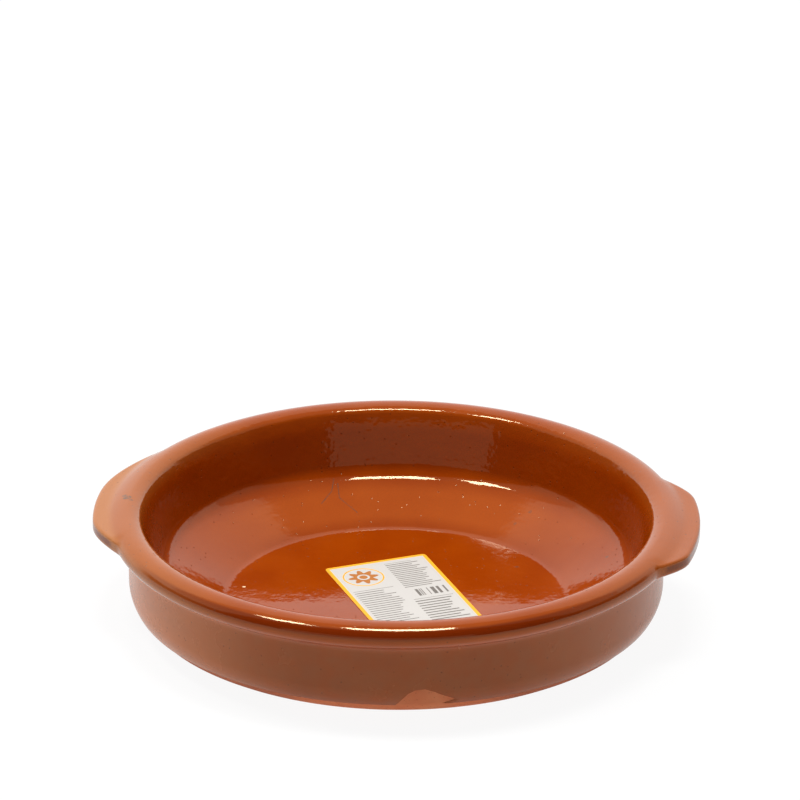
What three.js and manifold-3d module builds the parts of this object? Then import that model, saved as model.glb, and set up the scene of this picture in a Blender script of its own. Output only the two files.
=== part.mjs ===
import * as THREE from 'three';
import { mergeVertices } from 'three/addons/utils/BufferGeometryUtils.js';
import Module from 'manifold-3d';

// A glazed earthenware cazuela: a wide, shallow cooking dish with a rolled rim and two luted lugs.
// Millimetres, +Z up. The origin is the centre of the flat base, and +X points at the right lug.
// The outline is drawn on the glazed surface, and the clay under it is set in by the glaze.

const wasm = await Module();
wasm.setup();

// Body, outside
const rimDiameter = 280;
const overallHeight = 56.8;
const rollOverhang = 8.9;
const rollFillet = 5;
const heelRadius = 17.5;
const heelTopHeight = 21;
const baseDiameter = 190;

// The rim's roll: a broad crown, a rounder side and a tight lip, which meet crownSpan either side of upright
const crownInset = 8;
const crownRadius = 10;
const crownSpan = THREE.MathUtils.degToRad(32.5);
const lipRadius = 4;

// Body, inside
const floorThickness = 5.5;
const flatFloorRadius = 62;
const creaseRadius = 84.6;
const creaseRise = 1.4;
const skirtSlope = THREE.MathUtils.degToRad(28.5);
const cornerRadius = 12;
const wallDraft = THREE.MathUtils.degToRad(16.8);

// Glaze coat, and the bare foot below it
const glazeThickness = 0.5;
const glazeSeat = 0.1;
const glazeLineHeight = 12;
const holdMarkRadius = 17.8;
const holdMarkHeight = 3.2;
const holdMarkTurn = THREE.MathUtils.degToRad(-83.2);

// Lugs, with angles from the middle: the edge is level out to flat, and sinks into the roll by cwEnd and ccwEnd
const lugReach = 8.6;
const lugEdgeThickness = 6;
const lugTopDrop = 3;
const lugValleyDepth = 0.7;
const lugRootDepth = 3.5;
const lutingGap = 0.3;
const lugs = [
  { name: 'left_lug_handle', turn: 176.5, flat: 6.5, cwEnd: 40, ccwEnd: 25.5 },
  { name: 'right_lug_handle', turn: -4.8, flat: 12.8, cwEnd: 25, ccwEnd: 28 },
];

// Sticker on the floor: paper on a thin layer of glue, its long side running to the front
const labelWidth = 53.4;
const labelLength = 82;
const labelCornerRadius = 2;
const paperThickness = 0.15;
const adhesiveThickness = 0.05;
const labelSeat = 0.05;
const labelCentre = [4, 8.2];
const labelTurn = THREE.MathUtils.degToRad(21);

// Facets
const turns = 60;
const arcSteps = 5;
const rollSteps = 13;
const lugSections = 27;
const lugEdgeSteps = 4;

const rimRadius = rimDiameter / 2;
const wallRadius = rimRadius - rollOverhang;
const baseRadius = baseDiameter / 2;
const claySkin = glazeThickness + glazeSeat;
const floorHeight = floorThickness + claySkin;
const creaseHeight = floorHeight + creaseRise;

const polar = (centre, radius, angle) =>
  new THREE.Vector2(centre.x + radius * Math.cos(angle), centre.y + radius * Math.sin(angle));

function arc(centre, radius, from, to, steps) {
  return Array.from({ length: steps + 1 }, (_, i) => polar(centre, radius, from + ((to - from) * i) / steps));
}

// The side's radius makes it reach the rim's diameter
const sideSpan = Math.PI / 2 - crownSpan;
const lipSpan = Math.PI / 2 + crownSpan;
const crownCentre = new THREE.Vector2(rimRadius - crownInset, overallHeight - crownRadius);
const sideRadius = (crownInset - crownRadius * Math.cos(sideSpan)) / (1 - Math.cos(sideSpan));
const sideCentre = polar(crownCentre, crownRadius - sideRadius, sideSpan);
const lipCentre = polar(crownCentre, crownRadius - lipRadius, lipSpan);

// Outside of the dish from the base edge up to the roll, set in by skin
function outsideProfile(skin) {
  const heelCentre = new THREE.Vector2(wallRadius - heelRadius, heelTopHeight);
  const heel = heelRadius - skin;
  const toBase = new THREE.Vector2(heelCentre.x - baseRadius, heelCentre.y);
  const chamferSlope = Math.atan2(toBase.y, toBase.x) - Math.asin(heel / toBase.length());
  // The hollow fillet touches the upright wall and the underside of the roll
  const fillet = rollFillet + skin;
  const filletX = wallRadius - skin + fillet;
  const reach = sideRadius - skin + fillet;
  const drop = Math.sqrt(reach ** 2 - (filletX - sideCentre.x) ** 2);
  const filletCentre = new THREE.Vector2(filletX, sideCentre.y - drop);
  const touch = Math.atan2(sideCentre.y - filletCentre.y, sideCentre.x - filletCentre.x);
  return {
    points: [
      new THREE.Vector2(baseRadius, 0),
      ...arc(heelCentre, heel, chamferSlope - Math.PI / 2, 0, arcSteps),
      ...arc(filletCentre, fillet, Math.PI, touch, 2),
    ],
    rollStart: touch - Math.PI,
  };
}

// Inside of the dish from the roll down to the middle of the floor, set in by skin
function insideProfile(skin) {
  const wallNormal = Math.PI - wallDraft;
  const wallTop = polar(lipCentre, lipRadius - skin, wallNormal);
  const crease = new THREE.Vector2(creaseRadius, creaseHeight);
  const skirtFoot = polar(crease, -skin, skirtSlope + Math.PI / 2);
  // The corner arc touches the wall and the skirt, so its centre is a corner radius from both
  const wallLine = { point: polar(wallTop, cornerRadius + skin, wallNormal), slope: 1 / Math.tan(wallDraft) };
  const skirtLine = {
    point: polar(skirtFoot, cornerRadius + skin, skirtSlope + Math.PI / 2),
    slope: Math.tan(skirtSlope),
  };
  const x = (skirtLine.point.y - wallLine.point.y + wallLine.slope * wallLine.point.x
    - skirtLine.slope * skirtLine.point.x) / (wallLine.slope - skirtLine.slope);
  const cornerCentre = new THREE.Vector2(x, wallLine.point.y + wallLine.slope * (x - wallLine.point.x));
  const dished = Array.from({ length: arcSteps }, (_, i) => {
    const t = 1 - i / arcSteps;
    const radius = flatFloorRadius + t * (creaseRadius - flatFloorRadius);
    return new THREE.Vector2(radius, floorHeight + creaseRise * t ** 2 - skin);
  });
  return {
    rollEnd: wallNormal,
    points: [
      ...arc(cornerCentre, cornerRadius + skin, -wallDraft, skirtSlope - Math.PI / 2, arcSteps),
      ...dished,
      new THREE.Vector2(flatFloorRadius, floorHeight - skin),
      new THREE.Vector2(0, floorHeight - skin),
    ],
  };
}

// The whole dish as a turned solid whose surface lies skin below the glaze
function dishGeometry(skin) {
  const outside = outsideProfile(skin);
  const inside = insideProfile(skin);
  const side = arc(sideCentre, sideRadius - skin, outside.rollStart, sideSpan, Math.round(rollSteps * 0.46));
  const crown = arc(crownCentre, crownRadius - skin, sideSpan, lipSpan, Math.round(rollSteps * 0.3));
  const lip = arc(lipCentre, lipRadius - skin, lipSpan, inside.rollEnd, Math.round(rollSteps * 0.24));
  const roll = [...side.slice(1), ...crown.slice(1), ...lip.slice(1)];
  const profile = [new THREE.Vector2(0, 0), ...outside.points, ...roll, ...inside.points];
  return new THREE.LatheGeometry(profile, turns).rotateX(Math.PI / 2);
}

// How far the lug's edge stands out at an angle from its middle: 1 on the flat, below 0 where it is buried
function lugSpread(angle, { flat, cwEnd, ccwEnd }) {
  const sunk = 0.3;
  return 1 - (1 + sunk) * THREE.MathUtils.smoothstep(Math.abs(angle), flat, angle < 0 ? cwEnd : ccwEnd);
}

// Cross-section of a lug in the radius and height plane, from its root over the top and back below
function lugSection(spread, skin) {
  const root = wallRadius - 2;
  const edge = rimRadius + lugReach * spread;
  const edgeRadius = lugEdgeThickness / 2;
  const top = overallHeight - lugTopDrop;
  const rootDepth = lugRootDepth * THREE.MathUtils.clamp(spread, 0, 1);
  const at = (t) => root + t * (edge - root);
  const edgeCentre = new THREE.Vector2(edge - edgeRadius, top - edgeRadius);
  return [
    new THREE.Vector2(root, top - skin),
    new THREE.Vector2(at(0.52), top - lugValleyDepth - skin),
    ...arc(edgeCentre, edgeRadius - skin, Math.PI / 2, -Math.PI / 2, lugEdgeSteps),
    new THREE.Vector2(root, top - lugEdgeThickness - rootDepth - edgeRadius + skin),
  ];
}

// A lug blank, swept round the rim with its root buried in the wall
function lugGeometry(lug, skin) {
  const positions = [];
  const index = [];
  const count = lugSection(1, skin).length;
  for (let i = 0; i < lugSections; i++) {
    const angle = THREE.MathUtils.lerp(-lug.cwEnd, lug.ccwEnd, i / (lugSections - 1));
    const turn = THREE.MathUtils.degToRad(lug.turn + angle);
    for (const point of lugSection(lugSpread(angle, lug), skin)) {
      positions.push(point.x * Math.cos(turn), point.x * Math.sin(turn), point.y);
    }
  }
  for (let i = 0; i < lugSections - 1; i++) {
    for (let j = 0; j < count; j++) {
      const a = i * count + j;
      const b = i * count + ((j + 1) % count);
      index.push(a, b, a + count, b, b + count, a + count);
    }
  }
  const last = (lugSections - 1) * count;
  for (let j = 1; j < count - 1; j++) {
    index.push(0, j + 1, j);
    index.push(last, last + j, last + j + 1);
  }
  const geometry = new THREE.BufferGeometry();
  geometry.setAttribute('position', new THREE.Float32BufferAttribute(positions, 3));
  geometry.setIndex(index);
  return geometry;
}

// Between three.js geometries and solids that can be joined and cut
function toSolid(geometry) {
  const bare = geometry.clone();
  bare.deleteAttribute('normal');
  bare.deleteAttribute('uv');
  const merged = mergeVertices(bare);
  const corners = Array.from(merged.index.array);
  const triVerts = [];
  for (let i = 0; i < corners.length; i += 3) {
    const [a, b, c] = corners.slice(i, i + 3);
    if (a !== b && b !== c && c !== a) triVerts.push(a, b, c);
  }
  return new wasm.Manifold(new wasm.Mesh({
    numProp: 3,
    vertProperties: Float32Array.from(merged.attributes.position.array),
    triVerts: Uint32Array.from(triVerts),
  }));
}

function toGeometry(solid) {
  const mesh = solid.getMesh();
  const geometry = new THREE.BufferGeometry();
  geometry.setAttribute('position', new THREE.BufferAttribute(mesh.vertProperties, 3));
  geometry.setIndex(new THREE.BufferAttribute(mesh.triVerts, 1));
  geometry.computeVertexNormals();
  return geometry;
}

// The dish with both lugs as one form, which the glaze wraps
function coatedForm(skin) {
  return lugs.reduce((form, lug) => form.add(toSolid(lugGeometry(lug, skin))), toSolid(dishGeometry(skin)));
}

// What lies above the middle of the floor's thickness, so that a cut from below can't reach the inside
function insideCore() {
  const profile = insideProfile(floorThickness / 2).points.reverse();
  const brim = new THREE.Vector2(profile.at(-1).x, overallHeight);
  const closed = [...profile, brim, new THREE.Vector2(0, overallHeight)];
  return new THREE.LatheGeometry(closed, turns).rotateX(Math.PI / 2);
}

// One coat over everything but the foot, with a bare arch where the dish was held for dipping
function glazeGeometry() {
  const foot = toSolid(new THREE.BoxGeometry(rimDiameter, rimDiameter, 2 * glazeLineHeight));
  const holdMark = new THREE.SphereGeometry(holdMarkRadius, 24, 16);
  holdMark.translate(wallRadius * Math.cos(holdMarkTurn), wallRadius * Math.sin(holdMarkTurn), holdMarkHeight);
  const coat = coatedForm(0).subtract(coatedForm(glazeThickness));
  return toGeometry(coat.subtract(foot.subtract(toSolid(insideCore()))).subtract(toSolid(holdMark)));
}

function lugClayGeometry(lug) {
  const dish = toSolid(dishGeometry(claySkin - lutingGap));
  return toGeometry(toSolid(lugGeometry(lug, claySkin)).subtract(dish));
}

// A thin sheet with rounded corners, lying on the glazed floor
function sheetGeometry(thickness) {
  const half = [labelWidth / 2, labelLength / 2];
  const outline = new THREE.Shape();
  for (const [sx, sy, start] of [[1, 1, 0], [-1, 1, 1], [-1, -1, 2], [1, -1, 3]]) {
    const from = (start * Math.PI) / 2;
    outline.absarc(sx * (half[0] - labelCornerRadius), sy * (half[1] - labelCornerRadius),
      labelCornerRadius, from, from + Math.PI / 2, false);
  }
  outline.closePath();
  return new THREE.ExtrudeGeometry(outline, { depth: thickness, bevelEnabled: false, curveSegments: 3 });
}

const clay = new THREE.MeshStandardMaterial({ color: 0xb0683c, roughness: 0.9, metalness: 0 });
const glaze = new THREE.MeshStandardMaterial({ color: 0xa03c08, roughness: 0.12, metalness: 0 });
const paper = new THREE.MeshStandardMaterial({ color: 0xe9e6de, roughness: 0.55, metalness: 0 });
const glue = new THREE.MeshStandardMaterial({ color: 0xd8cfae, roughness: 0.4, metalness: 0 });

function piece(name, geometry, material) {
  const mesh = new THREE.Mesh(geometry, material);
  mesh.name = name;
  return mesh;
}

const label = new THREE.Group();
label.position.set(...labelCentre, floorHeight + labelSeat);
label.rotation.z = labelTurn;
const adhesive = piece('label_adhesive', sheetGeometry(adhesiveThickness), glue);
const sheet = piece('paper_label', sheetGeometry(paperThickness), paper);
sheet.position.z = adhesiveThickness + labelSeat;
label.add(adhesive, sheet);

const cazuela = new THREE.Group();
cazuela.add(piece('clay_bowl', dishGeometry(claySkin), clay));
cazuela.add(...lugs.map((lug) => piece(lug.name, lugClayGeometry(lug), clay)));
cazuela.add(piece('glaze_coat', glazeGeometry(), glaze));
cazuela.add(label);

export default cazuela;
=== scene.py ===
import math

import bpy
from mathutils import Matrix, Vector


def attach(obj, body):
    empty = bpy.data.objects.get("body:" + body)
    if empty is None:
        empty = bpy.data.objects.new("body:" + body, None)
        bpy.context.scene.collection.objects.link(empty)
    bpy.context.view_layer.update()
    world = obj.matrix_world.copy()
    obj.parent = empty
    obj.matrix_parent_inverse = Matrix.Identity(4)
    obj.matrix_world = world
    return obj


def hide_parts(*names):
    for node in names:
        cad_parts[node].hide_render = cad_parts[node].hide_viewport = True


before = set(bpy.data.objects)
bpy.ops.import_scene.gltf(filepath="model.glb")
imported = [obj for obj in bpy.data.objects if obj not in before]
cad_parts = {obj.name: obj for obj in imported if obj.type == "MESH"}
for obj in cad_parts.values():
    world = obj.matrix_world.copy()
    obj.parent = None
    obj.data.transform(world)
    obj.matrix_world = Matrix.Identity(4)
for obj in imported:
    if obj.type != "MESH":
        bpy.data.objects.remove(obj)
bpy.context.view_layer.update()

# A glazed clay cazuela, in metres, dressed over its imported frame
mm = 0.001

dish = {
    "rimRadius": 140 * mm,
    "height": 56.8 * mm,
    "rollOverhang": 8.9 * mm,
    "rollFillet": 5 * mm,
    "crownInset": 8 * mm,
    "crownRadius": 10 * mm,
    "crownSpan": math.radians(32.5),
    "lipRadius": 4 * mm,
    "heelRadius": 17.5 * mm,
    "heelTop": 21 * mm,
    "baseRadius": 95 * mm,
    "floorTop": 6.1 * mm,
    "flatRadius": 62 * mm,
    "creaseRadius": 84.6 * mm,
    "creaseRise": 1.4 * mm,
    "creaseSoftness": 2.2 * mm,
    "skirtSlope": math.radians(28.5),
    "cornerRadius": 12 * mm,
    "wallDraft": math.radians(16.8),
    "wallEase": math.radians(4.5),
    "wallEaseRadius": 100 * mm,
}
wallRadius = dish["rimRadius"] - dish["rollOverhang"]
heelCentre = Vector((wallRadius - dish["heelRadius"], dish["heelTop"]))

# Facets along each stretch of the outline, at full detail
facets = {
    "heel": 10,
    "outerWall": 6,
    "hollow": 6,
    "rollSide": 26,
    "crown": 10,
    "lip": 8,
    "wallEase": 6,
    "innerWall": 8,
    "corner": 14,
    "skirt": 10,
    "crease": 8,
    "risingFloor": 8,
    "flatFloor": 5,
}

glaze = {
    "thickness": 0.5 * mm,
    "seat": 0.1 * mm,
    "lineHeight": 12 * mm,
    "columns": 360,
    "outerDetail": 1,
    "innerDetail": 0.5,
    "sharpAngle": 35,
}
claySkin = glaze["thickness"] + glaze["seat"]


def smoothstep(low, high, x):
    t = min(1, max(0, (x - low) / (high - low)))
    return t * t * (3 - 2 * t)


# Outlines in the radius and height plane, set in by skin from the glazed surface

def polar(centre, radius, angle):
    return centre + radius * Vector((math.cos(angle), math.sin(angle)))


def arc(centre, radius, start, end, steps):
    return [polar(centre, radius, start + (end - start) * i / steps) for i in range(steps + 1)]


def between(start, end, steps):
    return [start.lerp(end, i / steps) for i in range(1, steps)]


# The rim's roll: a broad crown, a rounder side and a tight lip
sideSpan = math.pi / 2 - dish["crownSpan"]
lipSpan = math.pi / 2 + dish["crownSpan"]
crownCentre = Vector((dish["rimRadius"] - dish["crownInset"], dish["height"] - dish["crownRadius"]))
sideRadius = (dish["crownInset"] - dish["crownRadius"] * math.cos(sideSpan)) / (1 - math.cos(sideSpan))
sideCentre = polar(crownCentre, dish["crownRadius"] - sideRadius, sideSpan)
lipCentre = polar(crownCentre, dish["crownRadius"] - dish["lipRadius"], lipSpan)


def outsideOutline(skin, startHeight, detail):
    # up the heel and the wall, and through the hollow under the roll
    fillet = dish["rollFillet"] + skin
    filletX = wallRadius - skin + fillet
    reach = sideRadius - skin + fillet
    filletDrop = math.sqrt(reach ** 2 - (filletX - sideCentre.x) ** 2)
    filletCentre = Vector((filletX, sideCentre.y - filletDrop))
    touch = math.atan2(sideCentre.y - filletCentre.y, sideCentre.x - filletCentre.x)
    radius = dish["heelRadius"] - skin
    heelStart = math.asin((startHeight - heelCentre.y) / radius)
    heel = arc(heelCentre, radius, heelStart, 0, round(facets["heel"] * detail))
    hollow = arc(filletCentre, fillet, math.pi, touch, round(facets["hollow"] * detail))
    wall = between(heel[-1], hollow[0], round(facets["outerWall"] * detail))
    return heel + wall + hollow, touch - math.pi


def floorPoint(r, skin):
    # level to the flat radius, then rising to the crease
    share = max(0, (r - dish["flatRadius"]) / (dish["creaseRadius"] - dish["flatRadius"]))
    return Vector((r, dish["floorTop"] - skin + dish["creaseRise"] * share ** 2))


def insideOutline(skin, detail):
    # down the wall, which leans over a little below the lip, and round the corner
    wallNormal = math.pi - dish["wallDraft"]
    lipEnd = wallNormal - dish["wallEase"]
    slope = dish["skirtSlope"]
    skirtNormal = slope + math.pi / 2
    radius = dish["cornerRadius"] + skin
    easeCentre = polar(lipCentre, dish["lipRadius"] - dish["wallEaseRadius"], lipEnd)
    easeSteps = round(facets["wallEase"] * detail)
    ease = arc(easeCentre, dish["wallEaseRadius"] - skin, lipEnd, wallNormal, easeSteps)
    wallTop = ease[-1]
    creaseHeight = dish["floorTop"] + dish["creaseRise"]
    crease = polar(Vector((dish["creaseRadius"], creaseHeight)), -skin, skirtNormal)
    # the corner's centre is its radius away from both the wall and the skirt
    wallPoint = polar(wallTop, radius, wallNormal)
    skirtPoint = polar(crease, radius, skirtNormal)
    wallRise, skirtRise = 1 / math.tan(dish["wallDraft"]), math.tan(slope)
    lift = skirtPoint.y - wallPoint.y + wallRise * wallPoint.x - skirtRise * skirtPoint.x
    x = lift / (wallRise - skirtRise)
    cornerCentre = Vector((x, wallPoint.y + wallRise * (x - wallPoint.x)))
    cornerSteps = round(facets["corner"] * detail)
    corner = arc(cornerCentre, radius, -dish["wallDraft"], slope - math.pi / 2, cornerSteps)
    wall = between(wallTop, corner[0], round(facets["innerWall"] * detail))
    # down the skirt, over the softened crease and across the floor
    soft, flat = dish["creaseSoftness"], dish["flatRadius"]
    skirtEnd = polar(crease, soft, slope)
    skirt = between(corner[-1], skirtEnd, round(facets["skirt"] * detail))
    floorStart = floorPoint(dish["creaseRadius"] - soft, skin)
    bendSteps = round(facets["crease"] * detail)
    bend = []
    for i in range(bendSteps + 1):
        t = i / bendSteps
        bend.append((1 - t) ** 2 * skirtEnd + 2 * t * (1 - t) * crease + t ** 2 * floorStart)
    floorSteps, flatSteps = round(facets["risingFloor"] * detail), facets["flatFloor"]
    radii = [floorStart.x + (flat - floorStart.x) * i / floorSteps for i in range(1, floorSteps + 1)]
    radii += [flat * (1 - i / flatSteps) for i in range(1, flatSteps + 1)]
    floor = [floorPoint(r, skin) for r in radii]
    return ease[1:] + wall + corner + skirt + bend + floor, lipEnd


def dishOutline(skin, startHeight, detail):
    outside, rollStart = outsideOutline(skin, startHeight, detail)
    inside, rollEnd = insideOutline(skin, detail)
    rollParts = ("rollSide", "crown", "lip")
    sideSteps, crownSteps, lipSteps = (round(facets[part] * detail) for part in rollParts)
    side = arc(sideCentre, sideRadius - skin, rollStart, sideSpan, sideSteps)
    crown = arc(crownCentre, dish["crownRadius"] - skin, sideSpan, lipSpan, crownSteps)
    lip = arc(lipCentre, dish["lipRadius"] - skin, lipSpan, rollEnd, lipSteps)
    return outside + side[1:] + crown[1:] + lip[1:] + inside


# Modelling steps

def clearSelection():
    if bpy.context.object and bpy.context.object.mode != "OBJECT":
        bpy.ops.object.mode_set(mode="OBJECT")
    bpy.ops.object.select_all(action="DESELECT")


def pick(piece):
    clearSelection()
    piece.select_set(True)
    bpy.context.view_layer.objects.active = piece


def drawPath(places):
    # one vertex at the first place, extruded through the others and left in edit mode
    clearSelection()
    bpy.ops.mesh.primitive_plane_add(size=1 * mm, location=(0, 0, 0))
    bpy.ops.object.mode_set(mode="EDIT")
    bpy.ops.mesh.select_all(action="SELECT")
    bpy.ops.mesh.merge(type="CENTER")
    bpy.ops.transform.translate(value=places[0])
    for before, after in zip(places, places[1:]):
        bpy.ops.mesh.extrude_vertices_move(TRANSFORM_OT_translate={"value": after - before})
    return bpy.context.object


def drawOutline(name, points):
    piece = drawPath([Vector((point.x, 0, point.y)) for point in points])
    piece.name = piece.data.name = name
    return piece


# The merge at the spun seam, and how far thrown ware is out of round and level, most at the rim
wheel = {
    "seamMerge": 0.03 * mm,
    "warpStart": 0.2,
    "outOfRound": 0.25 * mm,
    "evenSqueeze": 0.6,
    "ovalSqueeze": 0.4,
    "ovalTurn": 0.7,
    "firingShrink": 0.08 * mm,
    "settling": 0.08 * mm,
    "rimDip": 0.3 * mm,
    "dipTurn": 2.6,
}


def turnOnWheel(piece, columns):
    # the outline is spun round the axis and its seam is merged
    bpy.ops.mesh.select_all(action="SELECT")
    bpy.ops.mesh.spin(steps=columns, angle=2 * math.pi, center=(0, 0, 0), axis=(0, 0, 1))
    bpy.ops.mesh.select_all(action="SELECT")
    bpy.ops.mesh.remove_doubles(threshold=wheel["seamMerge"])
    bpy.ops.mesh.normals_make_consistent(inside=False)
    bpy.ops.object.mode_set(mode="OBJECT")


def warp(piece):
    for vertex in piece.data.vertices:
        x, y, z = vertex.co
        turn = math.atan2(y, x)
        up = smoothstep(wheel["warpStart"], 1, z / dish["height"])
        squeeze = wheel["evenSqueeze"] + wheel["ovalSqueeze"] * math.cos(2 * turn + wheel["ovalTurn"])
        shrink = 1 - (up * squeeze * wheel["outOfRound"] + wheel["firingShrink"]) / dish["rimRadius"]
        tilt = 0.5 + 0.5 * math.sin(turn + wheel["dipTurn"])
        dip = up * (wheel["settling"] + wheel["rimDip"] * tilt)
        vertex.co = (x * shrink, y * shrink, z - dip)


def settle(piece, sharpAngle):
    # a finished piece sits at the origin, unturned and unscaled, and rides on the dish
    pick(piece)
    bpy.ops.object.transform_apply(location=True, rotation=True, scale=True)
    bpy.ops.object.shade_smooth_by_angle(angle=math.radians(sharpAngle))
    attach(piece, "root")


# Lugs: angles in degrees round the dish, with the edge level for flat either side of the middle

lugs = {
    "reach": 8.6 * mm,
    "middleHeight": 50.7 * mm,
    "halfThickness": 3.1 * mm,
    "edgeRounding": 1.3 * mm,
    "rootRadius": 128 * mm,
    "underSlope": 0.22,
    "luting": 3.4 * mm,
    "leastLuting": 0.01 * mm,
    "sink": 1.3,
    "sides": [
        {"middle": 176.5, "flat": 6.5, "cwEnd": 40, "ccwEnd": 25.5},
        {"middle": -4.8, "flat": 12.8, "cwEnd": 25, "ccwEnd": 28},
    ],
    "originFade": 0.15,
    "lutingFade": 0.3,
    "skinTolerance": 0.05 * mm,
    "longestPull": 16 * mm,
    "halvings": 20,
}


def lugSpread(turn):
    # 1 along a lug's level edge, below 0 where there is no lug
    spreads = []
    for lug in lugs["sides"]:
        across = (turn - lug["middle"] + 180) % 360 - 180
        end = lug["cwEnd"] if across < 0 else lug["ccwEnd"]
        spreads.append(1 - lugs["sink"] * smoothstep(lug["flat"], end, abs(across)))
    return max(spreads)


def arcOfRoll(point):
    # the centre and radius of the part of the roll that the point faces
    away = point - sideCentre
    if math.atan2(away.y, away.x) < sideSpan:
        return sideCentre, sideRadius
    return crownCentre, dish["crownRadius"]


def rollAndLug(point, edge, soft):
    # signed distance to the roll joined softly to a slab with rounded edges, thicker to its root
    centre, radius = arcOfRoll(point)
    roll = (point - centre).length - radius
    rounding = lugs["edgeRounding"]
    half = (edge - lugs["rootRadius"]) / 2
    out = abs(point.x - lugs["rootRadius"] - half) - half + rounding
    under = lugs["underSlope"] * max(0, edge - point.x) if point.y < lugs["middleHeight"] else 0
    up = abs(point.y - lugs["middleHeight"]) - lugs["halfThickness"] - under + rounding
    slab = math.hypot(max(out, 0), max(up, 0)) + min(max(out, up), 0) - rounding
    blend = max(soft - abs(roll - slab), 0) / soft
    return min(roll, slab) - blend * blend * soft / 4


def pullLugs(piece):
    # points of the roll move out to the lug, along rays that leave from nearer its edge
    tolerance = lugs["skinTolerance"]
    pulled = 0
    for vertex in piece.data.vertices:
        x, y, z = vertex.co
        r = math.hypot(x, y)
        point = Vector((r, z))
        centre, radius = arcOfRoll(point)
        ray = (point - centre).normalized()
        skin = radius - (point - centre).length
        spread = lugSpread(math.degrees(math.atan2(y, x)))
        if spread <= 0 or not -tolerance < skin < claySkin + tolerance or ray.x < 0:
            continue
        edge = dish["rimRadius"] + lugs["reach"] * spread
        tip = Vector((edge - lugs["halfThickness"], lugs["middleHeight"]))
        origin = centre.lerp(tip, math.sqrt(ray.x) * smoothstep(0, lugs["originFade"], spread))
        soft = lugs["luting"] * smoothstep(0, lugs["lutingFade"], spread) + lugs["leastLuting"]
        near, far = 0, lugs["longestPull"]
        for _ in range(lugs["halvings"]):
            middle = (near + far) / 2
            if rollAndLug(origin + middle * ray, edge, soft) < -skin:
                near = middle
            else:
                far = middle
        point = origin + near * ray
        vertex.co = (x / r * point.x, y / r * point.x, point.y)
        pulled += 1
    print("lugs pulled out of the roll:", pulled, "points")


# The coat: one closed skin from the glaze line over the rim and lugs to the middle of the floor

def throwGlaze():
    outer = dishOutline(0, glaze["lineHeight"], glaze["outerDetail"])
    inner = dishOutline(glaze["thickness"], glaze["lineHeight"], glaze["innerDetail"])
    piece = drawOutline("glazeCoat", inner[::-1] + outer)
    turnOnWheel(piece, glaze["columns"])
    pullLugs(piece)
    warp(piece)
    return piece


# The bare arch at the front, where the dish was held for dipping: its outline across and up, in mm

holdMark = {
    "outline": [(-2, 9), (0.5, 12.6), (3, 15.6), (6, 19), (9.5, 20.8), (14, 21.2),
                (18.5, 19.6), (23, 17.2), (27.5, 15.2), (32, 12.6), (34, 9)],
    "front": -126 * mm,
    "depth": 12 * mm,
    "cuts": 3,
}


def cutHoldMark(piece):
    front = holdMark["front"] / mm
    cutter = drawPath([Vector((x, front, z)) * mm for x, z in holdMark["outline"]])
    bpy.ops.mesh.select_all(action="SELECT")
    bpy.ops.mesh.subdivide(number_cuts=holdMark["cuts"], smoothness=1)
    bpy.ops.mesh.select_all(action="SELECT")
    bpy.ops.mesh.edge_face_add()
    bpy.ops.mesh.extrude_region_move(TRANSFORM_OT_translate={"value": (0, -holdMark["depth"], 0)})
    bpy.ops.mesh.select_all(action="SELECT")
    bpy.ops.mesh.normals_make_consistent(inside=False)
    bpy.ops.object.mode_set(mode="OBJECT")
    pick(piece)
    cut = piece.modifiers.new("holdMark", "BOOLEAN")
    cut.object = cutter
    cut.operation = "DIFFERENCE"
    cut.solver = "EXACT"
    bpy.ops.object.modifier_apply(modifier=cut.name)
    pick(cutter)
    bpy.ops.object.delete()


# The clay: base, heel, wall and roll in one piece, seen at the foot and through the hold mark

clayBody = {
    "columns": 240,
    "detail": 0.6,
    "chamferFacets": 6,
    "hollowRadius": 60 * mm,
    "hollowRise": 0.8 * mm,
    "hollowEdge": Vector((88 * mm, 0.1 * mm)),
    "footRadius": 91 * mm,
    "sharpAngle": 50,
}


def throwClay():
    radius = dish["heelRadius"] - claySkin
    toBase = heelCentre - Vector((dish["baseRadius"], 0))
    chamfer = math.atan2(toBase.y, toBase.x) - math.asin(radius / toBase.length)
    heelStart = polar(heelCentre, radius, chamfer - math.pi / 2)
    # from the middle of the hollow under the base out to the foot and up the chamfer
    hollow = [Vector((r, clayBody["hollowRise"])) for r in (0, clayBody["hollowRadius"])]
    ground = Vector((dish["baseRadius"], 0))
    foot = [clayBody["hollowEdge"], Vector((clayBody["footRadius"], 0)), ground]
    slope = between(ground, heelStart, clayBody["chamferFacets"])
    body = dishOutline(claySkin, heelStart.y, clayBody["detail"])
    piece = drawOutline("clayBowl", hollow + foot + slope + body)
    turnOnWheel(piece, clayBody["columns"])
    warp(piece)
    return piece


# Label: paper on a film of glue, printed with a plain border, rules and a rosette

label = {
    "width": 53.4 * mm,
    "length": 82 * mm,
    "corner": 2 * mm,
    "cornerFacets": 5,
    "centre": Vector((4 * mm, 8.2 * mm, 0)),
    "turn": math.radians(21),
    "glueBottom": dish["floorTop"] + 0.05 * mm,
    "glueThickness": 0.05 * mm,
    "paperBottom": dish["floorTop"] + 0.15 * mm,
    "paperThickness": 0.15 * mm,
    "sharpAngle": 40,
}


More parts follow.
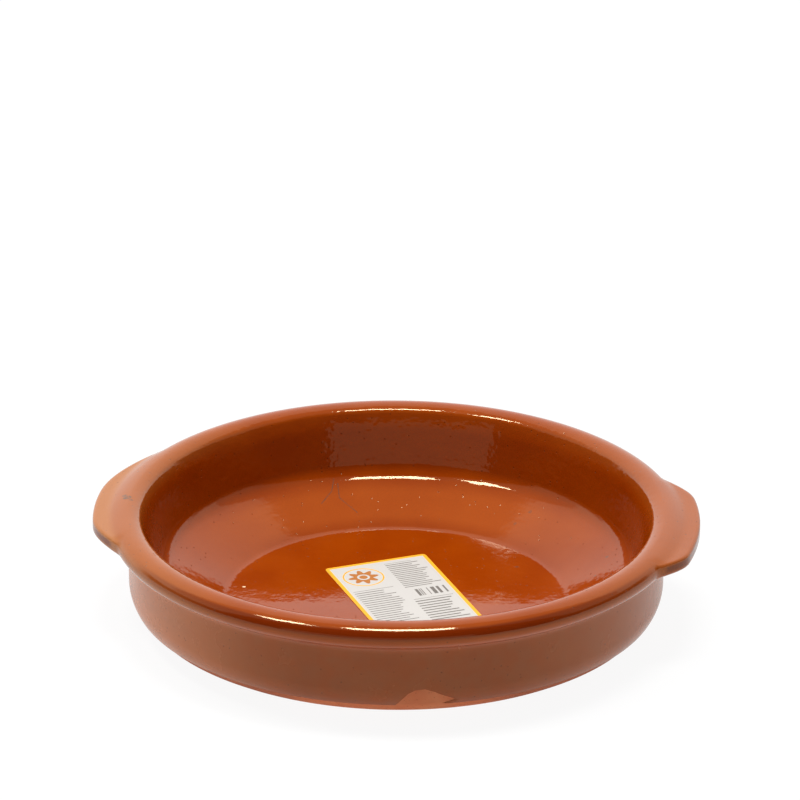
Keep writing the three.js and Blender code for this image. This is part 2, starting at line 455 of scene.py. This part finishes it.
def cutSheet(name, bottom, thickness):
    clearSelection()
    middle = label["centre"] + Vector((0, 0, bottom))
    bpy.ops.mesh.primitive_plane_add(size=1, location=middle)
    sheet = bpy.context.object
    sheet.name = sheet.data.name = name
    sheet.scale = (label["width"], label["length"], 1)
    bpy.ops.object.transform_apply(location=False, rotation=False, scale=True)
    bpy.ops.object.mode_set(mode="EDIT")
    bpy.ops.mesh.select_all(action="SELECT")
    bpy.ops.mesh.bevel(offset=label["corner"], offset_type="OFFSET", segments=label["cornerFacets"],
                       affect="VERTICES")
    bpy.ops.mesh.select_all(action="SELECT")
    bpy.ops.mesh.extrude_region_move(TRANSFORM_OT_translate={"value": (0, 0, thickness)})
    bpy.ops.mesh.select_all(action="SELECT")
    bpy.ops.mesh.normals_make_consistent(inside=False)
    bpy.ops.object.mode_set(mode="OBJECT")
    sheet.rotation_euler = (0, 0, label["turn"])
    return sheet


# Shader maths

class Wire:
    # one output socket: sums on it add Math nodes, and make() adds any other node

    def __init__(self, tree, socket=None):
        self.tree = tree
        self.socket = socket

    def make(self, kind, settings=None, values=None, output=0):
        node = self.tree.nodes.new("ShaderNode" + kind)
        for key, value in (settings or {}).items():
            if key == "stops":
                for element, (place, tone) in zip(node.color_ramp.elements, value):
                    element.position = place
                    element.color = tone
            else:
                setattr(node, key, value)
        for key, value in (values or {}).items():
            if isinstance(value, Wire):
                self.tree.links.new(value.socket, node.inputs[key])
            else:
                node.inputs[key].default_value = value
        return Wire(self.tree, node.outputs[output] if node.outputs else None)

    def maths(self, operation, *values):
        return self.make("Math", {"operation": operation}, dict(enumerate(values)))

    def __add__(self, other):
        return self.maths("ADD", self, other)

    def __radd__(self, other):
        return self.maths("ADD", other, self)

    def __sub__(self, other):
        return self.maths("SUBTRACT", self, other)

    def __rsub__(self, other):
        return self.maths("SUBTRACT", other, self)

    def __mul__(self, other):
        return self.maths("MULTIPLY", self, other)

    def __rmul__(self, other):
        return self.maths("MULTIPLY", other, self)

    def __truediv__(self, other):
        return self.maths("DIVIDE", self, other)

    def __gt__(self, other):
        return self.maths("GREATER_THAN", self, other)

    def __lt__(self, other):
        return self.maths("LESS_THAN", self, other)

    def size(self):
        return self.maths("ABSOLUTE", self)

    def root(self):
        return self.maths("SQRT", self)

    def orMore(self, other):
        # the larger of the two
        return self.maths("MAXIMUM", self, other)

    def orLess(self, other):
        # the smaller of the two
        return self.maths("MINIMUM", self, other)

    def between(self, low, high, toLow=0.0, toHigh=1.0):
        # a smooth step from one value to another
        values = {"Value": self, "From Min": low, "From Max": high, "To Min": toLow, "To Max": toHigh}
        return self.make("MapRange", {"interpolation_type": "SMOOTHSTEP"}, values)

    def split(self):
        parts = self.make("SeparateXYZ", None, {0: self}).socket.node.outputs
        return [Wire(self.tree, socket) for socket in parts]

    def join(self, x, y, z):
        return self.make("CombineXYZ", None, {0: x, 1: y, 2: z})

    def shade(self, low, high, start, end):
        # a colour for each value: start at low, end at high
        return self.make("ValToRGB", {"stops": [(low, start), (high, end)]}, {"Fac": self})

    def tint(self, other, amount):
        # this colour, mixed towards another
        settings = {"data_type": "RGBA", "clamp_factor": True}
        return self.make("Mix", settings, {0: amount, 6: self, 7: other}, output=2)


def paint(hexColour):
    # a screen colour as a linear one
    channels = [int(hexColour[i:i + 2], 16) / 255 for i in (1, 3, 5)]
    return tuple(c / 12.92 if c < 0.04045 else ((c + 0.055) / 1.055) ** 2.4 for c in channels) + (1,)


def newFinish(name):
    material = bpy.data.materials.new(name)
    material.use_nodes = True
    material.node_tree.nodes.clear()
    return material, Wire(material.node_tree)


def finishWith(bench, values):
    shader = bench.make("BsdfPrincipled", None, values)
    bench.make("OutputMaterial", None, {"Surface": shader})


# Noise stays mostly within this span
noiseSpan = (0.3, 0.7)


def noise(place, pattern):
    values = {"Vector": place, "Scale": pattern["scale"], "Detail": pattern["detail"]}
    return place.make("TexNoise", None, values)


def throwingLines(place, pattern):
    # noise drawn out into rings: slow round the dish and quick along its outline
    x, y, z = place.split()
    radius = (x * x + y * y).root()
    around, along = pattern["around"], pattern["along"]
    rings = place.join(x / radius * around, y / radius * around, (radius + z) * along)
    return noise(rings, {"scale": 1.0, "detail": pattern["detail"]})


def cellMiddles(place, pattern):
    # 1 at the middle of each cell
    away = place.make("TexVoronoi", {"feature": "F1"}, {"Vector": place, "Scale": pattern["scale"]})
    return 1 - away.between(pattern["core"], pattern["edge"])


def cellChance(place, pattern):
    # a random value for each of the same cells
    cells = {"Vector": place, "Scale": pattern["scale"]}
    return place.make("TexVoronoi", {"feature": "F1"}, cells, output="Color").split()[0]


# Glaze: honey brown and thin on the rim, with throwing lines and pinholes, and with painted shade,
# painted light and painted reflection in its tone
# The heights of its relief, and the places and sizes of its blemishes, are in mm

glazeLook = {
    "deep": paint("#852f01"),
    "warm": paint("#913902"),
    # the next six colours are also used for painted light, painted reflection and painted shade
    "thin": paint("#9a541f"),
    "lug": paint("#a4683a"),
    "side": paint("#c0744a"),
    "dullAndReflected": paint("#7c4a32"),
    "amber": paint("#b8581a"),
    "paintedShade": paint("#6a2002"),
    "pinhole": paint("#3c1606"),
    "speck": paint("#4b4039"),
    "chip": paint("#e6c39c"),
    "sheen": paint("#ffe8ba"),
    "refraction": 1.5,
    "roughness": 0.05,
    "roughnessSpread": 0.03,
    "outsideMatt": 0.2,
    "lugMatt": 0.14,
    "rings": {"height": 0.035, "around": 14, "along": 420, "detail": 2.0},
    "ripples": {"height": 0.06, "around": 7, "along": 150, "detail": 1.0},
    "dimples": {"height": 0.045, "scale": 270.0, "detail": 1.0, "moreOnWall": 2.8},
    "peel": {"height": 0.006, "scale": 780.0, "detail": 1.0},
    "sag": {"height": 0.2, "scale": 24.0, "detail": 0.0},
    "floorWave": {"height": 0.45, "length": 120 * mm, "middle": 12 * mm},
    "pinholes": {"depth": 0.09, "shade": 0.5, "scale": 320.0, "core": 0.06, "edge": 0.17, "clear": 0.66},
    "cloud": {"scale": 38.0, "detail": 4.0, "span": (0.25, 0.75)},
    "mottle": {"scale": 110.0, "detail": 3.0},
    "ragged": {"scale": 900.0, "detail": 2.0, "span": (0.35, 0.65)},
    # painted shade on the inner wall
    "innerWallPaintedShade": 0.35,
    # painted light at the back of the skirt
    "backSkirtPaintedLight": 0.28,
    "frontThin": 0.1,
    # painted light on the sides of the roll, more on the left
    "sideThinAndLight": (0.6, 0.3),  # left and right
    # partly painted reflection on the outside wall
    "dullAndReflectedAmount": (0.2, 0.4),
    # painted reflection and painted light on the sides of the outside wall
    "sidePaintedReflection": (0.8, 0.3),  # left and right
    # painted light on the lugs
    "lugPaintedLight": (0.65, 0.05),  # left and right
    # painted shade on the front of the roll, and painted shadow under the lugs' edges two lines down
    "rollFacePaintedShade": 0.95,
    "sideEase": 0.5,
    "lugEdgePaintedShadow": 0.9,
    "speckStrength": (0.2, 0.8),
    "specks": [(67.3, 80.8, 0.9), (59.7, 76.1, 0.8), (60.2, 40.8, 0.9), (104.3, 24.3, 0.8),
               (98.1, 11.5, 0.6), (-132, 10, 2.2), (-133.5, 13, 1.2), (-130, 7, 1.1)],
    "chips": [(-75.1, 14.4, 0.9)],
    "raggedEdge": 0.5,
    "scratches": [[(-32, 109), (-33, 102), (-38, 94)], [(-30, 107), (-29, 99), (-20, 92)]],
    "scratchWidth": 0.8,
}

# Where each zone of the glaze begins and is full: heights, radii and distances in mm
glazeZones = {
    "reliefFoot": (26, 32),
    "reliefEnd": (123, 132),
    "floorEnd": (35, 80),
    "sides": (60, 130),
    "leftToRight": (-100, 100),
    "rollFoot": (44, 51),
    "rollStart": (122.5, 125.5),
    "innerWallFoot": (20, 30),
    "innerWallTop": (44, 50),
    "innerWallEnd": (124, 127),
    "skirtFoot": (8, 12),
    "skirtTop": (18, 23),
    "backStart": (30, 90),
    "outsideStart": (126, 129),
    "outsideTop": (44, 49),
    "outsideSides": (40, 135),
    "outsideLeftToRight": (-90, 90),
    "lugStart": (137, 142),
    "lugFoot": (42, 49),
    "rollFaceStart": (136, 138),
    "rollFaceFoot": (49.5, 51.5),
    "rollFaceTop": (54.2, 55.4),
    "rollFaceBack": (-80, -55),
    "lugEdgeStart": (141, 143),
    "lugEdgeFoot": (48, 50),
    "lugEdgeTop": (51.6, 52.4),
    "lugEdgeBack": (-14, -4),
}


def makeGlaze():
    material, bench = newFinish("brownGlaze")
    place = bench.make("TexCoord", output="Object")
    x, y, z = place.split()
    radius = (x * x + y * y).root()
    look = glazeLook

    def zone(value, name, start=0.0, end=1.0):
        low, high = glazeZones[name]
        return value.between(low * mm, high * mm, start, end)

    # relief: throwing rings, ripples, dimples, the skin's orange peel and the sag of the floor
    relief = throwingLines(place, look["rings"]) * look["rings"]["height"]
    relief = relief + throwingLines(place, look["ripples"]) * look["ripples"]["height"]
    onWall = zone(z, "reliefFoot") * (1 - zone(radius, "reliefEnd"))
    dimpled = 1 + onWall * look["dimples"]["moreOnWall"]
    relief = relief + noise(place, look["dimples"]) * dimpled * look["dimples"]["height"]
    for name in ("peel", "sag"):
        relief = relief + noise(place, look[name]) * look[name]["height"]
    floorWave = look["floorWave"]
    wave = bench.maths("SINE", (y - floorWave["middle"]) * (2 * math.pi / floorWave["length"]))
    relief = relief - wave * zone(radius, "floorEnd", floorWave["height"], 0.0)

    # pinholes: small pits in some of the cells
    holes = look["pinholes"]
    pits = cellMiddles(place, holes) * (cellChance(place, holes) > holes["clear"])
    relief = relief - pits * holes["depth"]

    # tone: the inside, the back of the skirt and the roll, then the outside and the lugs
    cloud = noise(place, look["cloud"])
    tone = cloud.shade(*look["cloud"]["span"], look["deep"], look["warm"])
    side = zone(x.size(), "sides")
    # painted shade: the inner wall is darkened, as it gets less light than the floor
    innerWall = zone(z, "innerWallFoot") * (1 - zone(z, "innerWallTop"))
    innerWall = innerWall * (1 - zone(radius, "innerWallEnd"))
    tone = tone.tint(look["paintedShade"], innerWall * look["innerWallPaintedShade"])
    # painted light: only the back of the skirt is painted a lighter amber
    backSkirt = zone(z, "skirtFoot") * (1 - zone(z, "skirtTop")) * zone(y, "backStart")
    tone = tone.tint(look["amber"], backSkirt * look["backSkirtPaintedLight"])
    roll = zone(z, "rollFoot") * zone(radius, "rollStart")
    # thin glaze paler along the roll, with painted light making its sides paler still, more on the left
    # than the right
    thin = look["frontThin"] + side * zone(x, "leftToRight", *look["sideThinAndLight"])
    tone = tone.tint(look["thin"], roll * thin)
    outside = zone(radius, "outsideStart") * (1 - zone(z, "outsideTop"))
    # a mottled brownish grey over the outside wall, partly painted reflection of the grey floor in front
    dullAndReflected = noise(place, look["mottle"]).between(*noiseSpan, *look["dullAndReflectedAmount"])
    tone = tone.tint(look["dullAndReflected"], outside * dullAndReflected)
    # painted reflection: the outside wall is paler at the sides, where it reflects the bright floor, and
    # paler on the left than the right, as painted light
    pale = zone(x.size(), "outsideSides") * zone(x, "outsideLeftToRight", *look["sidePaintedReflection"])
    tone = tone.tint(look["side"], outside * pale)
    # painted light: the lugs are painted paler, the left one far more than the right
    lug = zone(radius, "lugStart") * zone(z, "lugFoot") * side
    tone = tone.tint(look["lug"], lug * zone(x, "leftToRight", *look["lugPaintedLight"]))
    # painted shade: the outer face of the roll, at the front only, is darkened where little light
    # reaches it
    rollFace = zone(radius, "rollFaceStart") * zone(z, "rollFaceFoot") * (1 - zone(z, "rollFaceTop"))
    rollFace = rollFace * (1 - zone(y, "rollFaceBack"))
    tone = tone.tint(look["paintedShade"], rollFace * (look["rollFacePaintedShade"] - side * look["sideEase"]))
    # painted shadow: a dark band along the lugs' under edges, except at the back
    lugEdge = zone(radius, "lugEdgeStart") * zone(z, "lugEdgeFoot") * (1 - zone(z, "lugEdgeTop"))
    lugEdge = lugEdge * (1 - zone(y, "lugEdgeBack"))
    tone = tone.tint(look["paintedShade"], lugEdge * look["lugEdgePaintedShadow"])
    tone = tone.tint(look["pinhole"], pits * holes["shade"])

    # specks and chips stuck in the glaze, and two thin scratches, all with ragged edges
    ragged = noise(place, look["ragged"])
    flat = bench.join(x, y, 0.0)

    def spots(places):
        marks = 0.0
        for across, along, size in places:
            centre = (across * mm, along * mm, 0)
            settings = {"operation": "DISTANCE"}
            away = bench.make("VectorMath", settings, {0: flat, 1: centre}, output="Value")
            spot = (away + ragged * mm) < (size + look["raggedEdge"]) * mm
            marks = bench.maths("MAXIMUM", marks, spot)
        return marks

    def scratch(points):
        marks = 0.0
        for (startX, startY), (endX, endY) in zip(points, points[1:]):
            runX, runY = endX - startX, endY - startY
            dx, dy = x - startX * mm, y - startY * mm
            share = (dx * runX + dy * runY) / ((runX ** 2 + runY ** 2) * mm)
            share = share.orMore(0.0).orLess(1.0)
            offX, offY = dx - share * (runX * mm), dy - share * (runY * mm)
            far = (offX * offX + offY * offY).root()
            marks = bench.maths("MAXIMUM", marks, (far + ragged * mm) < look["scratchWidth"] * mm)
        return marks

    marks = spots(look["specks"])
    for points in look["scratches"]:
        marks = marks.orMore(scratch(points))
    onTop = marks * (1 - outside)  # the wall under a speck stays clean
    strength = ragged.between(*look["ragged"]["span"], *look["speckStrength"])
    tone = tone.tint(look["speck"], onTop * strength)
    tone = tone.tint(look["chip"], spots(look["chips"]))

    glossy = look["roughness"]
    roughness = cloud.between(*noiseSpan, glossy, glossy + look["roughnessSpread"])
    matt = (outside * look["outsideMatt"]).orMore(lug * look["lugMatt"])
    finishWith(bench, {
        "Base Color": tone,
        "Roughness": roughness + matt,
        "IOR": look["refraction"],
        "Specular Tint": look["sheen"],
        "Normal": bench.make("Bump", None, {"Strength": 1.0, "Distance": mm, "Height": relief}),
    })
    return material


# Bare clay: matt and gritty, with turning lines and dark grains, painted shade above the foot, and
# browner at the sides

clayLook = {
    "body": paint("#c6683a"),
    "pale": paint("#d07c50"),
    "grain": paint("#7a3f22"),
    "washed": paint("#9a4c28"),
    "roughness": (0.78, 0.92),
    "roughnessSpan": (0.2, 0.8),
    "mottle": {"scale": 60.0, "detail": 6.0, "span": (0.4, 0.65)},
    "grit": {"scale": 1400.0, "detail": 3.0, "share": 0.4},
    "lines": {"around": 3, "along": 700, "detail": 2.0, "share": 0.6},
    "grains": {"scale": 420.0, "core": 0.08, "edge": 0.2, "shade": 0.5},
    # painted shade: the clay is darkened from the lower to the upper of these heights
    "paintedShadeHeights": (10 * mm, 13 * mm),
    "paintedShadeAmount": 0.3,
    "washedSides": (35 * mm, 60 * mm),
    "washedShade": 0.8,
    "bumpStrength": 0.35,
    "bumpHeight": 0.3 * mm,
}


def makeClay():
    material, bench = newFinish("firedClay")
    place = bench.make("TexCoord", output="Object")
    x, y, z = place.split()
    look = clayLook
    mottle = noise(place, look["mottle"])
    tone = mottle.shade(*look["mottle"]["span"], look["body"], look["pale"])
    tone = tone.tint(look["grain"], cellMiddles(place, look["grains"]) * look["grains"]["shade"])
    # painted shade: the clay is darker above the foot, which gets more light from the floor
    tone = tone.tint(look["grain"], z.between(*look["paintedShadeHeights"]) * look["paintedShadeAmount"])
    tone = tone.tint(look["washed"], x.size().between(*look["washedSides"]) * look["washedShade"])
    grit = noise(place, look["grit"]) * look["grit"]["share"]
    height = grit + throwingLines(place, look["lines"]) * look["lines"]["share"]
    bumps = {"Strength": look["bumpStrength"], "Distance": look["bumpHeight"], "Height": height}
    finishWith(bench, {
        "Base Color": tone,
        "Roughness": mottle.between(*look["roughnessSpan"], *look["roughness"]),
        "Normal": bench.make("Bump", None, bumps),
    })
    return material


# Label paper and its print: boxes and places in mm across and along the sheet from its middle

labelLook = {
    "paper": paint("#bab7b2"),
    "border": paint("#e8a200"),
    "rule": paint("#67625c"),
    "rosette": paint("#a8641c"),
    "borderWidth": 1.9 * mm,
    "borderSoftness": 0.1 * mm,
    "rules": [
        {"box": (3, 23, 6, 36), "pitch": 2.1, "weight": 0.34},
        {"box": (-23, -2, -34, 10), "pitch": 2.4, "weight": 0.3},
        {"box": (2, 23, -34, -8), "pitch": 2.8, "weight": 0.36},
    ],
    "ruleRaggedness": 0.35,
    "bars": {"box": (6, 22, -5, 3), "pitch": 0.5, "gaps": 0.45},
    "flower": {"across": -12, "along": 25, "petals": 8, "reach": 6.4, "swing": 1.5},
    "eye": 3.2,
    "dot": 2.1,
    "halo": (9.6, 10.4),
    "fibre": {"scale": 1800.0, "detail": 3.0},
    "roughness": (0.42, 0.55),
    "bumpStrength": 0.12,
    "bumpHeight": 0.1 * mm,
}


def makeLabelPaper():
    material, bench = newFinish("labelPaper")
    place = bench.make("TexCoord", output="Object")
    turned = bench.make("VectorRotate", {"rotation_type": "Z_AXIS", "invert": True}, {
        "Vector": place, "Center": label["centre"], "Angle": label["turn"]})
    x, y = turned.split()[:2]
    across = x - label["centre"].x
    along = y - label["centre"].y
    look = labelLook

    def block(x0, x1, y0, y1):
        # 1 inside a rectangle of the sheet
        return (across > x0 * mm) * (across < x1 * mm) * (along > y0 * mm) * (along < y1 * mm)

    def chance(value):
        # one random value for each whole step of the value
        step = bench.maths("FLOOR", value)
        return bench.make("TexWhiteNoise", {"noise_dimensions": "1D"}, {"W": step})

    def rules(box, pitch, weight):
        # a group of thin rules, with uneven ends
        x0, x1 = box[:2]
        rows = along / (pitch * mm)
        end = x1 * mm - chance(rows) * ((x1 - x0) * look["ruleRaggedness"] * mm)
        return block(*box) * (bench.maths("FRACT", rows) < weight) * (across < end)

    # the border, then rules and a block of bars of uneven width
    edge = (label["width"] / 2 - across.size()).orLess(label["length"] / 2 - along.size())
    width, soft = look["borderWidth"], look["borderSoftness"]
    border = 1 - edge.between(width - soft, width + soft)
    bars = look["bars"]
    ink = block(*bars["box"]) * (chance(across / (bars["pitch"] * mm)) > bars["gaps"])
    for group in look["rules"]:
        ink = ink.orMore(rules(**group))

    # a ring of petals round a dot, in a halo
    flower = look["flower"]
    dx, dy = across - flower["across"] * mm, along - flower["along"] * mm
    far = (dx * dx + dy * dy).root()
    petals = bench.maths("COSINE", bench.maths("ARCTAN2", dy, dx) * flower["petals"])
    reach = flower["reach"] * mm + petals * (flower["swing"] * mm)
    ring = (far < reach) * (far > look["eye"] * mm)
    rosette = ring.orMore(far < look["dot"] * mm)
    haloStart, haloEnd = look["halo"]
    halo = (far < haloEnd * mm) * (far > haloStart * mm)

    tone = ink.shade(0, 1, look["paper"], look["rule"])
    tone = tone.tint(look["rosette"], rosette)
    tone = tone.tint(look["border"], border.orMore(halo))
    fibre = noise(place, look["fibre"])
    bumps = {"Strength": look["bumpStrength"], "Distance": look["bumpHeight"], "Height": fibre}
    finishWith(bench, {
        "Base Color": tone,
        "Roughness": fibre.between(*noiseSpan, *look["roughness"]),
        "Normal": bench.make("Bump", None, bumps),
    })
    return material


glueLook = {
    "clear": paint("#d8cfae"),
    "cloudy": paint("#c4b88c"),
    "cloud": {"scale": 400.0, "detail": 3.0, "span": (0.4, 0.6)},
    "roughness": (0.3, 0.45),
}


def makeLabelGlue():
    material, bench = newFinish("labelGlue")
    cloud = noise(bench.make("TexCoord", output="Object"), glueLook["cloud"])
    finishWith(bench, {
        "Base Color": cloud.shade(*glueLook["cloud"]["span"], glueLook["clear"], glueLook["cloudy"]),
        "Roughness": cloud.between(*noiseSpan, *glueLook["roughness"]),
    })
    return material


# Pieces

glazeFinish, clayFinish = makeGlaze(), makeClay()
paperFinish, glueFinish = makeLabelPaper(), makeLabelGlue()

coat = throwGlaze()
cutHoldMark(coat)
coat.data.materials.append(glazeFinish)
settle(coat, glaze["sharpAngle"])
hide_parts("glaze_coat")
print("coat thrown:", len(coat.data.polygons), "faces")

bowl = throwClay()
bowl.data.materials.append(clayFinish)
settle(bowl, clayBody["sharpAngle"])
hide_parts("clay_bowl")
print("clay thrown:", len(bowl.data.polygons), "faces")

for name in ("left_lug_handle", "right_lug_handle"):
    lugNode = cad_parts[name]
    lugNode.data.materials.clear()
    lugNode.data.materials.append(clayFinish)

paper = cutSheet("paperLabel", label["paperBottom"], label["paperThickness"])
paper.data.materials.append(paperFinish)
settle(paper, label["sharpAngle"])
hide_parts("paper_label")
glue = cutSheet("labelAdhesive", label["glueBottom"], label["glueThickness"])
glue.data.materials.append(glueFinish)
settle(glue, label["sharpAngle"])
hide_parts("label_adhesive")
print("label cut and laid")


# Floor: seen as white, but dimmer than that as a light on the dish

studio = {
    "floorRadius": 6,
    "floorFacets": 96,
    "floorHeight": -0.2 * mm,
    "floorWhite": 0.86,
    "lightTable": 0.4,
    "floorGlow": 0.92,
}


def layFloor():
    clearSelection()
    bpy.ops.mesh.primitive_circle_add(vertices=studio["floorFacets"], radius=studio["floorRadius"],
                                      fill_type="NGON", location=(0, 0, studio["floorHeight"]))
    floor = bpy.context.object
    floor.name = "studioFloor"
    material, bench = newFinish("whiteFloor")
    white = studio["floorWhite"]
    matt = bench.make("BsdfDiffuse", None, {"Color": (white, white, white, 1)})
    glow = bench.make("Emission", None, {"Color": (1, 1, 1, 1), "Strength": 1.0})
    path = bench.make("LightPath").socket.node.outputs
    seen = Wire(bench.tree, path["Is Camera Ray"]) + Wire(bench.tree, path["Is Glossy Ray"])
    seen = (seen + Wire(bench.tree, path["Is Transmission Ray"])).orLess(1.0)
    amount = studio["lightTable"] + seen * (studio["floorGlow"] - studio["lightTable"])
    mixed = bench.make("MixShader", None, {0: amount, 1: matt, 2: glow})
    bench.make("OutputMaterial", None, {"Surface": mixed})
    floor.data.materials.append(material)


# Camera: aimed so that a point on the dish's axis lands at aimAt, in pixels of the square picture

camera = {
    "elevation": math.radians(24.99),
    "distance": 2.7926,
    "aimHeight": 5 * mm,
    "focalPixels": 5674.03,
    "imageSize": 800,
    "aimAt": (395.93, 603.20),
    "roll": math.radians(0.38),
    "farthest": 50,
}


def placeCamera():
    data = bpy.data.cameras.new("camera")
    item = bpy.data.objects.new("camera", data)
    bpy.context.scene.collection.objects.link(item)
    data.lens = camera["focalPixels"] / camera["imageSize"] * data.sensor_width
    data.clip_end = camera["farthest"]
    rise = camera["elevation"]
    back = Vector((0, -math.cos(rise), math.sin(rise)))
    half = camera["imageSize"] / 2
    pitch = math.atan2(camera["aimAt"][1] - half, camera["focalPixels"])
    yaw = math.atan2(camera["aimAt"][0] - half, camera["focalPixels"])
    look = (-back).to_track_quat("-Z", "Y").to_matrix().to_4x4()
    for angle, axis in ((camera["roll"], "Z"), (pitch, "X"), (yaw, "Y")):
        look = look @ Matrix.Rotation(angle, 4, axis)
    stand = camera["distance"] * back + Vector((0, 0, camera["aimHeight"]))
    item.matrix_world = Matrix.Translation(stand) @ look
    bpy.context.scene.camera = item


# Two ceiling panels: place and size in metres, power in watts

panels = [
    {"name": "ceilingMiddle", "place": (0.055, -0.12, 3), "size": (1.08, 0.62), "power": 78},
    {"name": "ceilingLeft", "place": (-1.29, -0.08, 3), "size": (0.66, 0.66), "power": 50},
]


def hangPanel(panel):
    data = bpy.data.lights.new(panel["name"], "AREA")
    data.shape = "RECTANGLE"
    data.size, data.size_y = panel["size"]
    data.energy = panel["power"]
    item = bpy.data.objects.new(panel["name"], data)
    item.location = panel["place"]
    bpy.context.scene.collection.objects.link(item)


# The room as a share of white, by direction: bright wall behind, dimmer ceiling, dark in front

room = {
    "wall": 1.15,
    "wallFall": 0.16,
    "wallTop": 0.44,
    "wallSoftness": 0.03,
    "ceiling": 0.4,
    "ceilingSides": 0.33,
    "ceilingFall": 0.15,
    "front": 0.04,
    "frontEdge": -0.29,
    "edgeSoftness": 0.06,
    "window": 0.5,
    "windowTop": 0.25,
    "windowSide": 0.6,
    "windowMiddle": -0.09,
    "sideTop": 0.3,
    "sideBack": 0.42,
    "sideSoftness": 0.1,
}


def lightWorld():
    world = bpy.data.worlds.new("room")
    bpy.context.scene.world = world
    world.use_nodes = True
    world.node_tree.nodes.clear()
    bench = Wire(world.node_tree)
    x, y, z = bench.make("TexCoord", output="Generated").split()

    def past(value, place, softness):
        return value.between(place - softness, place + softness)

    wall = room["wall"] - x * room["wallFall"]
    ceiling = room["ceiling"] + x * x * room["ceilingSides"] - x * room["ceilingFall"]
    lit = ceiling + past(y - z * room["wallTop"], 0, room["wallSoftness"]) * (wall - ceiling)
    beside = (x - room["windowMiddle"]).size()
    inWindow = (z > 0) * (z < room["windowTop"]) * (beside < room["windowSide"])
    dark = room["front"] + inWindow * (room["window"] - room["front"])
    # low down the sides are dark too
    high = past(z, room["sideTop"], room["edgeSoftness"])
    side = past(y, room["sideBack"], room["sideSoftness"])
    tone = dark + past(y, room["frontEdge"], room["edgeSoftness"]) * high.orMore(side) * (lit - dark)
    shown = bench.make("Background", None, {"Color": (1, 1, 1, 1), "Strength": tone})
    bench.make("OutputWorld", None, {"Surface": shown})


layFloor()
placeCamera()
for panel in panels:
    hangPanel(panel)
lightWorld()
print("studio lit")

view = bpy.context.scene.view_settings
view.view_transform = "Standard"
